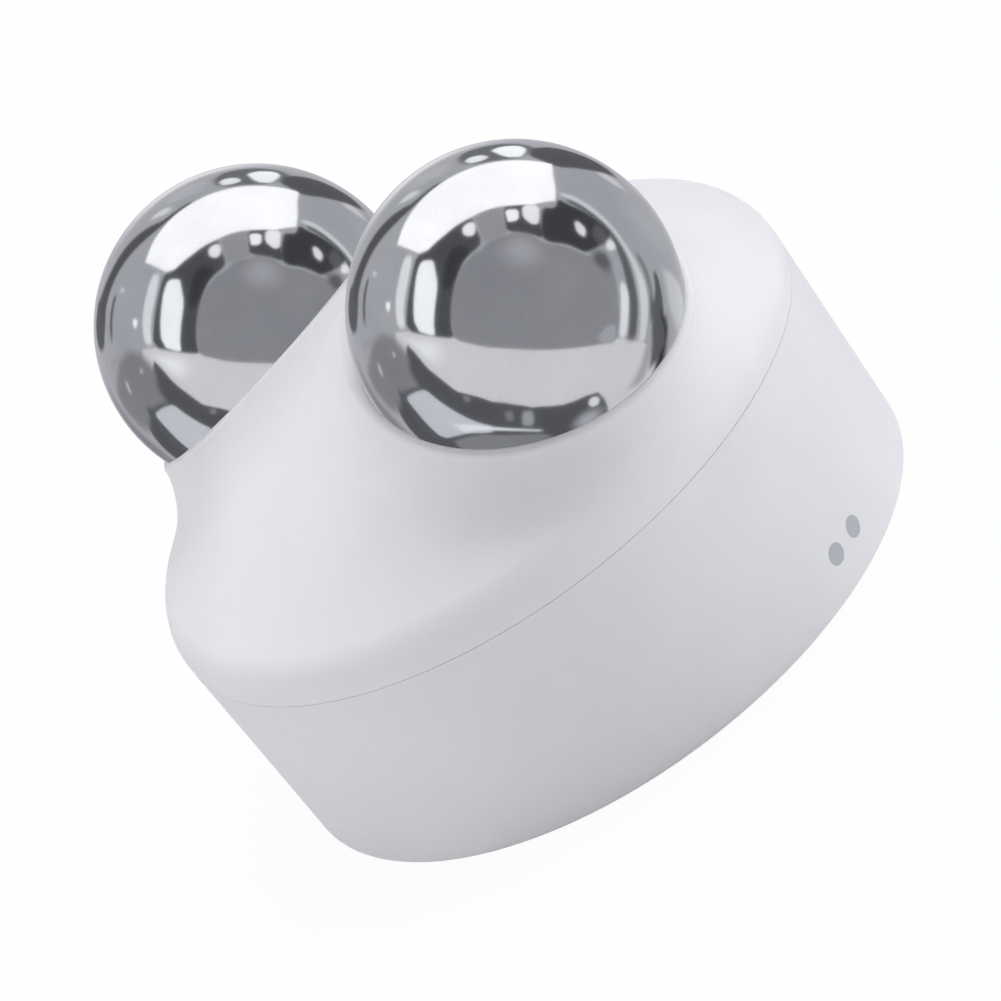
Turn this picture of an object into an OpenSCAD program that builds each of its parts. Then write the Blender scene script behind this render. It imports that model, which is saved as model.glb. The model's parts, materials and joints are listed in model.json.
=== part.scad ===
// Head of a facial toning device: two mirror-bright contact spheres stand in
// tilted collars on a domed cap, over a round base whose underside has the
// socket for the handle. Origin: centre of the base rim's plane. +Z is up and
// the spheres lie along X, so the head looks the same after half a turn.

/* [Body] */
// Outer radius of the head at its seam
body_r = 27.62; // [26:0.02:34]
// Height of the seam above the base rim
seam_h = 17.3; // [14.4:0.1:22]
// Lean of the base wall, in degrees
draft = 1.72; // [0.5:0.02:3]
// Wall of the two shells
wall = 1.8; // [1.4:0.1:2.2]
// Round on the edge of the base rim
rim_round = 0.3; // [0.1:0.05:0.6]
// Height of the hairline groove at the seam
seam_gap = 0.09; // [0.05:0.01:0.2]
// Depth of the hairline groove at the seam
seam_gap_depth = 0.8; // [0.4:0.1:1]

/* [Spheres] */
// Radius of a contact sphere
ball_r = 12.5; // [10.4:0.1:15]
// Free gap between the two spheres
ball_gap = 5.48; // [4:0.02:7]
// Height of the sphere centres above the seam
ball_rise = 13.45; // [12.5:0.05:16]
// Shell of a hollow sphere
ball_wall = 1.2; // [0.8:0.1:1.8]
// Clearance between a sphere and its cup
ball_clear = 0.06; // [0.05:0.01:0.3]
// Outward lean of a sphere's collar, in degrees
collar_tilt = 21.5; // [18:0.5:25]
// Drop of the collar's lip below the sphere's centre, along the leaning axis
lip_drop = 1.73; // [1:0.01:3]
// Flat land between the sphere and the collar's outer face
lip_land = 0.22; // [0.1:0.01:0.6]

/* [Cap surface] */
// Height of the dome's crown above the seam
crown_rise = 16.8; // [15:0.1:20]
// Steepest slope of the dome, as rise over run
dome_slope = 0.77; // [0.7:0.01:1]
// How broad the dome's crown is
crown_round = 8.8; // [4:0.1:20]
// Round between the dome and the wall
shoulder_round = 1.4; // [0.8:0.1:4]
// Flare of a collar, in degrees
collar_flare = 3.5; // [-5:0.5:15]
// Hollow fillet where a collar runs into the dome
collar_fillet = 4.4; // [1.5:0.1:6]

/* [Socket] */
// Radius of the socket that takes the handle's nose
socket_r = 9; // [8:0.1:10.5]
// Depth of the socket above the base plate's face
socket_depth = 6.5; // [6.2:0.1:7.8]
// Radius of the wider pilot bore at the socket's mouth
pilot_r = 9.6; // [8.6:0.1:11]
// Length of the pilot bore
pilot_depth = 3.1; // [2.6:0.1:3.4]
// Wall of the socket cup
cup_wall = 1.5; // [1.2:0.1:2]
// Thickness of the socket's ceiling
ceiling_t = 1.4; // [1:0.1:1.8]

/* [Latches] */
// Travel of a latch
latch_travel = 1.2; // [0.8:0.1:1.4]
// How far a latch's nose stands in the socket
latch_reach = 1; // [0.6:0.1:1.2]
// Width of a latch's nose
latch_w = 5; // [4:0.1:6]
// Height of a latch
latch_t = 2; // [1.8:0.1:2.2]
// Length of a latch from its shoulder to its tail
latch_tail = 4.4; // [4:0.1:5]

/* [Contact pins] */
// Travel of a contact pin
pin_travel = 1; // [0.6:0.1:1.2]
// How far a pin's tip stands in the socket
pin_reach = 1.3; // [1.3:0.1:1.6]
// Radius of a pin's tip
pin_r = 0.75; // [0.6:0.05:0.8]
// Distance between pins
pin_pitch = 4; // [3.8:0.1:5]
// Number of contact pins
pin_count = 3; // [3:1:3]

/* [Circuit board] */
// Radius of the contact board
board_r = 15; // [14.8:0.1:16]
// Thickness of the contact board
board_t = 1; // [0.8:0.1:1.2]

/* [Fasteners] */
// Radius of the circle that the housing screws stand on
screw_circle_r = 21.5; // [21:0.1:28]
// Shank radius of a housing screw
screw_r = 1.25; // [1:0.05:1.5]
// Radius of the circle that the board screws stand on
post_circle_r = 12.9; // [12.7:0.1:13.2]
// Shank radius of a board screw
board_screw_r = 0.8; // [0.6:0.05:1]
// Radius of a sphere's threaded stud
stud_r = 2; // [1.5:0.1:2.2]
// Width of a stud nut across its flats
nut_flats = 7; // [6:0.1:7.4]

/* [Alignment dots] */
// Radius of a dot
dot_r = 0.84; // [0.6:0.02:1.2]
// Distance between the two dots along the wall
dot_pitch = 2.96; // [2.4:0.02:4]
// Height of the dots above the rim
dot_h = 3.25; // [2.5:0.05:6]
// Direction of the point midway between the dots, in degrees from +X
dot_turn = 7.7; // [0:0.1:30]

/* [Hidden] */
$fn = 96;

eps = 0.01;
slip = 0.05;            // clearance of a sliding fit, each side
fit = 0.1;              // clearance between pieces that are fixed together

// Base, from the rim up
rim_r = body_r - seam_h * tan(draft);
inner_r = body_r - wall - 0.5;
plate_z = 0.5;
plate_t = 1.2;
floor_z = plate_z + plate_t;
floor_t = 1.8;
floor_top = floor_z + floor_t;
plate_r = inner_r - 0.3;
plate_hole_r = pilot_r + cup_wall + fit;

// Socket cup
cup_r = pilot_r + cup_wall;
flange_t = 1;
flange_top = floor_top + flange_t;
flange_r = post_circle_r + 3;
ceiling_z = plate_z + socket_depth;
ceiling_top = ceiling_z + ceiling_t;
key_w = 1.6;
key_depth = 0.5;

// Latches: measured from the socket's axis along their own direction
nose_y = socket_r - latch_reach;
shoulder_y = cup_r + 0.2;
tail_y = shoulder_y + latch_tail;
latch_spring_solid = 1.9;
stop_y = tail_y + latch_travel + latch_spring_solid;
guide_end_y = stop_y + 1.4;
guide_wall = 1.95;
latch_head_w = latch_w + 2;
guide_w = latch_head_w + 2 * slip + 2 * guide_wall;
latch_z = flange_top + slip;
guide_top = latch_z + latch_t + slip;
cover_t = 0.5;
stake_r = 0.5;
stake_x = guide_w / 2 - guide_wall / 2;
stakes_y = [shoulder_y + 1.6, stop_y + 0.1];
latch_spring_r = 0.65;
latch_spring_wire = 0.13;
latch_well_r = 0.9;
latch_well_depth = 2.4;

// Contact pins
barrel_r = 1.4;
barrel_bore_r = 1;
barrel_flange_r = 1.8;
barrel_flange_t = 0.3;
barrel_lip_t = 0.25;
barrel_roof_t = 0.3;
pin_collar_t = 1;
pin_spring_r = 0.65;
pin_spring_wire = 0.12;
pin_spring_solid = 1.4;
barrel_h = barrel_lip_t + slip + pin_collar_t + pin_travel + pin_spring_solid + barrel_roof_t;
block_h = barrel_h - ceiling_t;
tail_r = 0.4;
tail_h = board_t + 0.4;
pin_tip_z = ceiling_z - pin_reach;
pin_rest_z = ceiling_z + barrel_lip_t + slip;
block_w = 6;
block_l = (pin_count - 1) * pin_pitch + 5;

// Board and the posts that carry it
board_z = ceiling_top + block_h;
board_top = board_z + board_t;
post_r = 2.1;
post_angles = [30, 150, 210, 330];
board_screw_depth = 5;

// Housing screws: bosses rise from the floor and meet the bosses of the cap
screw_angles = [45, 135, 225, 315];
screw_head_r = 2.2;
screw_head_t = 1.5;
boss_r = 3;
boss_top = floor_top + 3;
counterbore_top = boss_top - 2;
screw_reach = 7;

// Cap: spigot, ledge and seal
ledge_r = inner_r - 1.5;
ledge_h = 1.5;
spigot_r = inner_r - fit;
spigot_h = 2.5;
seal_wire_r = 0.45;
seal_z = seam_h - 1.25;
groove_depth = 0.95;

// Spheres: everything below a sphere is measured down its leaning axis
ball_x = ball_r + ball_gap / 2;
ball_z = seam_h + ball_rise;
lip_r = sqrt(ball_r * ball_r - lip_drop * lip_drop);
cup_shell_t = 1.6;
seat_r = 6.6;
seat_s = ball_r + 2.7;
ball_boss_r = 3.6;
ball_boss_s = ball_r - 4.5;
strap_t = 0.4;
washer_t = 0.5;
nut_t = 1.8;
nut_end_s = seat_s + strap_t + washer_t + nut_t;
stud_end_s = nut_end_s + 0.6;
nut_clear = 0.2;        // room for a stud and its nut where they reach into the board
ring_seal_wire_r = 0.6;
ring_seal_r = 4.6;
ring_seal_s = sqrt(pow(ball_r + ring_seal_wire_r + 0.02, 2) - ring_seal_r * ring_seal_r);
strap_w = 3;
strap_lug_r = 3.9;
strap_leg_y = 8.8;
strap_foot = 2.2;

// ---------------------------------------------------------------- the cap's skin
// The cap's outer face is where a smooth field is zero. The field is a distance
// in mm, positive outside: a dome with a rounded shoulder, joined by a hollow
// fillet to two leaning collars, and cut off flat at the collars' lips.
axis_lean = [sin(collar_tilt), 0, cos(collar_tilt)];
across_lean = [cos(collar_tilt), 0, -sin(collar_tilt)];
lip_centre = [ball_x, 0, ball_z] - lip_drop * axis_lean;
crown_z = seam_h + crown_rise;
skin_centre = [lip_centre.x - 5.5, 0, seam_h];
corner_turn = 118;      // where the rays round a collar meet the mid-plane's foot

function round_union(a, b, k) =
    max(k, min(a, b)) - norm([max(k - a, 0), max(k - b, 0)]);
function round_common(a, b, k) =
    min(-k, max(a, b)) + norm([max(k + a, 0), max(k + b, 0)]);

function dome_field(r, z) =
    let (h = norm([dome_slope * r, crown_round]),
         slope = dome_slope * dome_slope * r / h)
    (z - crown_z + h - crown_round) / norm([1, slope]);
function skin_field(p) =
    let (q = [abs(p.x), p.y, p.z] - lip_centre,
         r = norm([p.x, p.y]),
         rise = q * axis_lean,
         out = norm([q * across_lean, q.y]),
         dome = round_common(dome_field(r, p.z), r - body_r, shoulder_round),
         collar = (out - lip_r - lip_land) * cos(collar_flare) + rise * sin(collar_flare))
    max(round_union(dome, collar, collar_fillet), rise);

// Distance from the point o along d to where the field reaches level
function march(o, d, t, level) =
    t > 60 || skin_field(o + t * d) > level ? t : march(o, d, t + 2, level);
function bisect(o, d, lo, hi, level, n) =
    n == 0 ? (lo + hi) / 2 :
    let (mid = (lo + hi) / 2)
    skin_field(o + mid * d) > level ? bisect(o, d, lo, mid, level, n - 1)
                                    : bisect(o, d, mid, hi, level, n - 1);
function cast(o, through, level) =
    let (d = (through - o) / norm(through - o),
         t = march(o, d, 2, level))
    o + bisect(o, d, t - 2, t, level, 14) * d;

// One half of the skin as columns that run from the lip (row 0) to the seam or
// to the mid-plane. outer_n columns end on the seam and inner_n on the mid-plane.
// The inner columns crowd towards the ends of the mid-plane, where it bends most.
function column_turn(i, outer_n, inner_n) =
    i < outer_n ? -corner_turn + 2 * corner_turn * i / outer_n :
    180 - (180 - corner_turn) * cos(180 * (i - outer_n) / inner_n);
function column_end(i, outer_n, inner_n, inset) =
    i <= outer_n ?
    let (a = -90 + 180 * i / outer_n)
    [(body_r - inset) * cos(a), (body_r - inset) * sin(a), seam_h] :
    let (a = 90 * cos(180 * (i - outer_n) / inner_n))
    cast([0, 0, seam_h], [0, sin(a), seam_h + cos(a)], -inset);
function lip_point(turn, inset) =
    lip_centre - inset * axis_lean + (lip_r + lip_land - inset)
    * (cos(turn) * across_lean + sin(turn) * [0, 1, 0]);
function skin_columns(outer_n, inner_n, rows, inset) = [
    for (i = [0 : outer_n + inner_n - 1])
    let (lip = lip_point(column_turn(i, outer_n, inner_n), inset),
         foot = column_end(i, outer_n, inner_n, inset))
    [for (j = [0 : rows])
        j == 0 ? lip : j == rows ? foot :
        cast(skin_centre, foot + (lip - foot) * pow(1 - j / rows, 1.5), -inset)]];

// Closes the half skin with the lip's disc, the mid-plane and the seam's plane,
// drawn down by skirt
module skin_half(outer_n, inner_n, rows, inset, skirt) {
    columns = skin_columns(outer_n, inner_n, rows, inset);
    n = outer_n + inner_n;
    m = rows + 1;
    points = concat([for (c = columns) each c],
                    [for (i = [0 : outer_n]) columns[i][rows] - [0, 0, skirt]]);
    sides = [for (i = [0 : n - 1], j = [0 : rows - 1])
        let (a = i * m + j, b = (i + 1) % n * m + j)
        each [[a, b, b + 1], [a, b + 1, a + 1]]];
    skirt_sides = [for (i = [0 : outer_n - 1])
        let (a = i * m + rows, b = (i + 1) * m + rows)
        each [[a, b, n * m + i + 1], [a, n * m + i + 1, n * m + i]]];
    lid = [[for (i = [n - 1 : -1 : 0]) i * m]];
    foot = [[for (i = [0 : outer_n]) n * m + i]];
    middle = [concat([n * m], [n * m + outer_n],
                     [for (i = [outer_n : n]) (i % n) * m + rows])];
    polyhedron(points, concat(sides, skirt_sides, lid, foot, middle), convexity = 6);
}
module skin(outer_n, inner_n, rows, inset = 0, skirt = 0.5) {
    skin_half(outer_n, inner_n, rows, inset, skirt);
    mirror([1, 0, 0]) skin_half(outer_n, inner_n, rows, inset, skirt);
}

// ---------------------------------------------------------------- helpers
module ring(r_out, r_in, z0, z1)
    translate([0, 0, z0]) difference() {
        cylinder(r = r_out, h = z1 - z0);
        translate([0, 0, -eps]) cylinder(r = r_in, h = z1 - z0 + 2 * eps);
    }
module disc(r, z0, z1)
    translate([0, 0, z0]) cylinder(r = r, h = z1 - z0);
module torus(r, wire_r)
    rotate_extrude() translate([r, 0]) circle(r = wire_r, $fn = 24);
module around(r, angles)
    for (a = angles) rotate([0, 0, a]) translate([r, 0, 0]) children();
// side is 1 for the right-hand sphere and -1 for the left-hand one
module at_sphere(side)
    rotate([0, 0, side > 0 ? 0 : 180]) translate([ball_x, 0, ball_z])
    rotate([0, collar_tilt, 0]) children();
// side is -1 for the front latch and 1 for the back one
module at_latch(side)
    rotate([0, 0, side > 0 ? 0 : 180]) children();
module at_pin(i)
    translate([0, (i - (pin_count + 1) / 2) * pin_pitch, 0]) children();
// A round wire wound into a helix along Z
function helix_ring(r, wire_r, a, z, sides) = [
    for (k = [0 : sides - 1])
    let (b = 360 * k / sides, out = r + wire_r * cos(b))
    [out * cos(a), out * sin(a), z + wire_r * sin(b)]];
module helix(r, wire_r, length, turns, steps = 10, sides = 6) {
    n = turns * steps;
    points = [for (i = [0 : n]) each helix_ring(r, wire_r, 360 * i / steps,
        wire_r + (length - 2 * wire_r) * i / n, sides)];
    side_faces = [for (i = [0 : n - 1], k = [0 : sides - 1])
        let (a = i * sides + k, b = i * sides + (k + 1) % sides)
        each [[a, b, b + sides], [a, b + sides, a + sides]]];
    ends = [[for (k = [sides - 1 : -1 : 0]) k], [for (k = [0 : sides - 1]) n * sides + k]];
    polyhedron(points, concat(side_faces, ends), convexity = 4);
}

// ---------------------------------------------------------------- shells
module base_shell() color("#d9dade") difference() {
    union() {
        rotate_extrude() polygon([
            [inner_r, 0],
            [rim_r - rim_round, 0],
            for (a = [-75 : 15 : 0])
                [rim_r - rim_round + rim_round * cos(a), rim_round + rim_round * sin(a)],
            [body_r, seam_h - seam_gap],
            [body_r - seam_gap_depth, seam_h - seam_gap],
            [body_r - seam_gap_depth, seam_h],
            [inner_r, seam_h]]);
        ring(inner_r + eps, plate_hole_r, floor_z, floor_top);
        around(screw_circle_r, screw_angles) disc(boss_r, floor_top - eps, boss_top);
        around(post_circle_r, post_angles) disc(post_r, floor_top - eps, board_z);
    }
    around(screw_circle_r, screw_angles) {
        disc(screw_head_r + fit, -eps, counterbore_top);
        disc(screw_r + fit, -eps, boss_top + eps);
    }
    around(post_circle_r, post_angles)
        disc(board_screw_r + slip, board_z - board_screw_depth - 0.3, board_z + eps);
    dots(dot_r + 0.02, 0.62);
}

module cap_shell() color("#e4e4e9") difference() {
    union() {
        difference() {
            skin(32, 22, 14, 0, 0);
            difference() {
                skin(24, 14, 8, wall, 1);
                for (side = [-1, 1]) at_sphere(side) {
                    sphere(r = ball_r + ball_clear + cup_shell_t);
                    disc(seat_r, -seat_s, 0);
                }
                around(screw_circle_r, screw_angles) disc(boss_r, seam_h - 2, seam_h + 30);
                ring(body_r + 1, ledge_r, seam_h - 2, seam_h + ledge_h);
            }
        }
        ring(spigot_r, ledge_r, seam_h - spigot_h, seam_h + eps);
        around(screw_circle_r, screw_angles) disc(boss_r - 0.4, boss_top, seam_h + eps);
        for (side = [-1, 1]) at_sphere(side) disc(seat_r, -seat_s, -ball_r - 1);
    }
    for (side = [-1, 1]) at_sphere(side) {
        sphere(r = ball_r + ball_clear);
        disc(stud_r + fit, -seat_s - 1, 0);
        translate([0, 0, -ring_seal_s]) torus(ring_seal_r, ring_seal_wire_r + slip);
    }
    around(screw_circle_r, screw_angles)
        disc(screw_r + slip, boss_top - eps, boss_top + screw_reach + 0.5);
    ring(inner_r + 1, spigot_r - groove_depth, seal_z - seal_wire_r - slip,
         seal_z + seal_wire_r + slip);
}

module seam_seal() color("#3a3b3f") translate([0, 0, seal_z])
    torus(inner_r - seal_wire_r - 0.02, seal_wire_r);

module base_plate() color("#c9cad0") difference() {
    ring(plate_r, plate_hole_r, plate_z, floor_z);
    ring(plate_r - 2, plate_r - 2.6, plate_z - eps, plate_z + 0.2);
}

// Round inlays set in the drafted wall, depth deep
module dots(r, depth) {
    spread = dot_pitch / rim_r * 90 / PI;
    intersection() {
        difference() {
            cylinder(r1 = rim_r, r2 = body_r, h = seam_h);
            translate([0, 0, -eps])
                cylinder(r1 = rim_r - depth, r2 = body_r - depth, h = seam_h + 2 * eps);
        }
        for (a = [dot_turn - spread, dot_turn + spread])
            rotate([0, 0, a]) translate([rim_r - 3, 0, dot_h])
                rotate([0, 90, 0]) cylinder(r = r, h = 6);
    }
}
module alignment_dots() color("#adb0b6") dots(dot_r, 0.6);

// ---------------------------------------------------------------- socket
module latch_channel(w, y0, y1)
    translate([-w / 2 - slip, y0, latch_z - slip])
        cube([w + 2 * slip, y1 - y0, latch_t + 2 * slip + eps]);
module socket_cup() color("#4b4d52") difference() {
    union() {
        disc(cup_r, plate_z, ceiling_top);
        disc(flange_r, floor_top, flange_top);
        for (side = [-1, 1]) at_latch(side) {
            translate([-guide_w / 2, 0, floor_top])
                cube([guide_w, guide_end_y, guide_top - floor_top]);
            for (x = [-stake_x, stake_x], y = stakes_y) translate([x, y, 0]) {
                disc(stake_r, guide_top - eps, guide_top + cover_t + 0.1);
                disc(stake_r + 0.35, guide_top + cover_t, guide_top + cover_t + 0.35);
            }
        }
    }
    disc(pilot_r, plate_z - eps, plate_z + pilot_depth);
    disc(socket_r, plate_z - eps, ceiling_z);
    rotate([0, 0, dot_turn]) translate([0, -key_w / 2, plate_z + pilot_depth])
        cube([socket_r + key_depth, key_w, socket_depth - pilot_depth]);
    for (side = [-1, 1]) at_latch(side) {
        latch_channel(latch_w, socket_r - 2, shoulder_y);
        latch_channel(latch_head_w, shoulder_y - slip, stop_y);
    }
    for (i = [1 : pin_count]) at_pin(i)
        disc(barrel_r + slip, ceiling_z - eps, ceiling_top + eps);
    around(post_circle_r, post_angles) disc(post_r + fit, floor_top - eps, ceiling_top + eps);
}

module latch(side) color("#2f3136") at_latch(side) difference() {
    union() {
        translate([latch_w / 2, 0, latch_z]) rotate([0, -90, 0])
            linear_extrude(latch_w) polygon([
                [0, nose_y + 0.9],
                [latch_t / 2 - 0.25, nose_y],
                [latch_t / 2 + 0.25, nose_y],
                [latch_t, nose_y + 0.9],
                [latch_t, shoulder_y + 1],
                [0, shoulder_y + 1]]);
        translate([-latch_head_w / 2, shoulder_y, latch_z])
            cube([latch_head_w, latch_tail, latch_t]);
    }
    translate([0, tail_y + eps, latch_z + latch_t / 2]) rotate([90, 0, 0])
        cylinder(r = latch_well_r, h = latch_well_depth);
}
module latch_spring(side) color("#b9bcc0") at_latch(side)
    translate([0, tail_y - latch_well_depth + slip, latch_z + latch_t / 2])
    rotate([-90, 0, 0])
        helix(latch_spring_r, latch_spring_wire,
              stop_y - tail_y + latch_well_depth - 2 * slip, 7);
module latch_cover(side) color("#9fa2a6") at_latch(side) difference() {
    translate([-guide_w / 2, cup_r + fit, guide_top])
        cube([guide_w, guide_end_y - cup_r - fit, cover_t]);
    for (x = [-stake_x, stake_x], y = stakes_y) translate([x, y, 0])
        disc(stake_r + slip, guide_top - eps, guide_top + cover_t + eps);
}

// ---------------------------------------------------------------- contact pins
module pin_block() color("#1f2023") difference() {
    translate([-block_w / 2, -block_l / 2, ceiling_top]) cube([block_w, block_l, block_h]);
    for (i = [1 : pin_count]) at_pin(i) {
        disc(barrel_r + slip, ceiling_top - eps, board_z + eps);
        disc(barrel_flange_r + fit, ceiling_top - eps, ceiling_top + barrel_flange_t + slip);
    }
}
module pin_barrel(i) color("#c9a44a") at_pin(i) difference() {
    union() {
        disc(barrel_r, ceiling_z, ceiling_z + barrel_h);
        disc(barrel_flange_r, ceiling_top, ceiling_top + barrel_flange_t);
        disc(tail_r, board_z - eps, board_z + tail_h);
    }
    disc(barrel_bore_r, ceiling_z + barrel_lip_t, ceiling_z + barrel_h - barrel_roof_t);
    disc(pin_r + slip, ceiling_z - eps, ceiling_z + barrel_lip_t + eps);
}
module contact_pin(i) color("#d8b65a") at_pin(i) {
    disc(barrel_bore_r - slip, pin_rest_z, pin_rest_z + pin_collar_t);
    rotate_extrude() polygon([
        [0, pin_tip_z],
        for (a = [-75 : 15 : 0])
            [pin_r * cos(a), pin_tip_z + pin_r + pin_r * sin(a)],
        [pin_r, pin_rest_z + eps],
        [0, pin_rest_z + eps]]);
}
module pin_spring(i) color("#b9bcc0") at_pin(i)
    translate([0, 0, pin_rest_z + pin_collar_t + slip])
        helix(pin_spring_r, pin_spring_wire,
              barrel_h - barrel_lip_t - barrel_roof_t - pin_collar_t - 3 * slip, 5);

// ---------------------------------------------------------------- board
module contact_board() color("#1d5a3a") difference() {
    disc(board_r, board_z, board_top);
    around(post_circle_r, post_angles) disc(board_screw_r + fit, board_z - eps, board_top + eps);
    for (i = [1 : pin_count]) at_pin(i) disc(tail_r + slip, board_z - eps, board_top + eps);
    for (side = [-1, 1]) at_sphere(side) {
        disc(stud_r + nut_clear, -stud_end_s - nut_clear, -seat_s);
        disc(nut_flats / 2 / cos(30) + nut_clear, -nut_end_s - nut_clear, -seat_s);
    }
}
module board_chips() color("#26272a") {
    translate([-1.6, -11.4, board_top]) cube([3.2, 3, 0.9]);
    translate([-1.6, 8.4, board_top]) cube([1.2, 0.7, 0.6]);
    translate([0.6, 8.4, board_top]) cube([1.2, 0.7, 0.6]);
}

// ---------------------------------------------------------------- spheres
module contact_sphere(side) color("#c8cacd") at_sphere(side) difference() {
    sphere(r = ball_r);
    difference() {
        sphere(r = ball_r - ball_wall);
        disc(ball_boss_r, -ball_r, -ball_boss_s);
    }
    disc(stud_r + slip, -ball_r - eps, -ball_boss_s - 0.8);
}
module sphere_stud(side) color("#b6b9bd") at_sphere(side)
    disc(stud_r, -stud_end_s, -ball_boss_s - 1);
module sphere_seal(side) color("#3a3b3f") at_sphere(side)
    translate([0, 0, -ring_seal_s]) torus(ring_seal_r, ring_seal_wire_r);
module stud_washer(side) color("#c4c6c9") at_sphere(side)
    ring(stud_r + 2, stud_r + fit, -seat_s - strap_t - washer_t, -seat_s - strap_t);
module stud_nut(side) color("#b9bcc0") at_sphere(side)
    translate([0, 0, -nut_end_s]) difference() {
        cylinder(r = nut_flats / 2 / cos(30), h = nut_t, $fn = 6);
        translate([0, 0, -eps]) cylinder(r = stud_r + slip, h = nut_t + 2 * eps);
    }
// A lug under the stud's washer, an arm to the side, a leg down and a foot that
// is soldered to the board
module contact_strap(side) color("#c79a5b") {
    lug = [ball_x, 0, ball_z] - (seat_s + strap_t / 2) * axis_lean;
    difference() {
        union() {
            at_sphere(side) {
                disc(strap_lug_r, -seat_s - strap_t, -seat_s);
                translate([-strap_w / 2, 0, -seat_s - strap_t]) cube([strap_w, strap_leg_y, strap_t]);
            }
            rotate([0, 0, side > 0 ? 0 : 180])
            translate([lug.x - strap_w / 2, strap_leg_y - strap_t, board_top]) {
                cube([strap_w, strap_t, lug.z - board_top]);
                cube([strap_w, strap_foot, strap_t]);
            }
        }
        at_sphere(side) disc(stud_r + fit, -seat_s - 1, -seat_s + 1);
    }
}

// ---------------------------------------------------------------- fasteners
module housing_screws() color("#8f9296") around(screw_circle_r, screw_angles) difference() {
    union() {
        disc(screw_head_r, counterbore_top - screw_head_t, counterbore_top);
        disc(screw_r, counterbore_top - eps, boss_top + screw_reach);
    }
    translate([0, 0, counterbore_top - screw_head_t - eps]) cross_slot(2.4, 0.5, 0.7);
}
module board_screws() color("#8f9296") around(post_circle_r, post_angles) difference() {
    union() {
        disc(1.5, board_top, board_top + 0.9);
        disc(board_screw_r, board_z + board_t - board_screw_depth, board_top + eps);
    }
    translate([0, 0, board_top + 0.4]) cross_slot(1.8, 0.35, 0.6);
}
module cross_slot(length, width, depth)
    for (a = [0, 90]) rotate([0, 0, a])
        translate([-length / 2, -width / 2, 0]) cube([length, width, depth]);

base_shell();
cap_shell();
seam_seal();
base_plate();
alignment_dots();
socket_cup();
latch_cover(-1);  // latch_cover_front
latch_cover(1);  // latch_cover_back
latch(-1);  // latch_front
latch(1);  // latch_back
latch_spring(-1);  // latch_spring_front
latch_spring(1);  // latch_spring_back
pin_block();
contact_board();
board_chips();
pin_barrel(1);  // pin_barrel_1
pin_barrel(2);  // pin_barrel_2
pin_barrel(3);  // pin_barrel_3
contact_pin(1);  // contact_pin_1
contact_pin(2);  // contact_pin_2
contact_pin(3);  // contact_pin_3
pin_spring(1);  // pin_spring_1
pin_spring(2);  // pin_spring_2
pin_spring(3);  // pin_spring_3
contact_sphere(1);  // sphere_right
contact_sphere(-1);  // sphere_left
sphere_stud(1);  // sphere_stud_right
sphere_stud(-1);  // sphere_stud_left
sphere_seal(1);  // sphere_seal_right
sphere_seal(-1);  // sphere_seal_left
contact_strap(1);  // contact_strap_right
contact_strap(-1);  // contact_strap_left
stud_washer(1);  // stud_washer_right
stud_washer(-1);  // stud_washer_left
stud_nut(1);  // stud_nut_right
stud_nut(-1);  // stud_nut_left
housing_screws();
board_screws();
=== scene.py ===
"""Head of a facial toning device.

Two polished spheres stand in leaning collars on a domed cap, over a round base.
"""

import json
import math
from itertools import count

import bmesh
import bpy
import numpy as np
from mathutils import Matrix, Vector


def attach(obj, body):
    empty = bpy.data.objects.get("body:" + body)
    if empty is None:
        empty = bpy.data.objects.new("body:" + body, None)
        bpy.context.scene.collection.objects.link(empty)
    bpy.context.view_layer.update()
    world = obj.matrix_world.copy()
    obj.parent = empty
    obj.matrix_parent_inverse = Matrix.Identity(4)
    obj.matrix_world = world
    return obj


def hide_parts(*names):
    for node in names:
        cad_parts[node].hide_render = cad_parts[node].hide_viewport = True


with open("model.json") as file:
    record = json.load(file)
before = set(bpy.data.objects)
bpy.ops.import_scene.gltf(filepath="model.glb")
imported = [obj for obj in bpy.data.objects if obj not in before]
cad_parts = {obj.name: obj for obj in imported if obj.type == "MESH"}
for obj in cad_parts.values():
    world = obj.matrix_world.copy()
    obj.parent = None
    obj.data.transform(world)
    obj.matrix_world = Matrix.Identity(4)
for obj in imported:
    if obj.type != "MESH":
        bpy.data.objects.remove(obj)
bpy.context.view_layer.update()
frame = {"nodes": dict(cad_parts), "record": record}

MM = 0.001

# ------------------------------------------------------------ sizes in mm, as the CAD model has them
BODY_R, SEAM_H, CROWN_Z = 27.62, 17.3, 34.1
DOME_SLOPE, CROWN_ROUND, SHOULDER_ROUND = 0.77, 8.8, 1.4
COLLAR_TILT, COLLAR_FLARE, COLLAR_FILLET = math.radians(21.5), math.radians(3.5), 4.4
BALL_R, BALL_X, BALL_Z = 12.5, 15.24, 30.75
LIP_DROP, LIP_LAND, STUD_HOLE_R, SPIGOT_R = 1.73, 0.22, 2.05, 25.22

# ------------------------------------------------------------ edges that the CAD leaves hard, in mm
SEAM_EDGE = 0.03        # round of the cap's edge on the seam
SEAM_DROP = 0.05        # how far that edge stands down into the seam's groove
SEAM_LAND = 0.7         # width of the flat ring behind the edge
LIP_EDGE = 0.19         # how far the lip's round reaches into the flat land round the sphere
LIP_FALL = 0.6          # how far down the collar the round runs, where the collar stands clear
LIP_LEAST_FALL = 0.01   # and where the collar runs into the ridge
MERGE_START = 0.5       # the collar is this far out past its lip where the round begins to die out
MERGE_SPAN = 0.7        # and this much further out where it has
LIP_SPREAD = 1          # most that the foot of the round stands out past the lip
LIP_GAP = 0.015         # hairline between the land and the sphere

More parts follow.
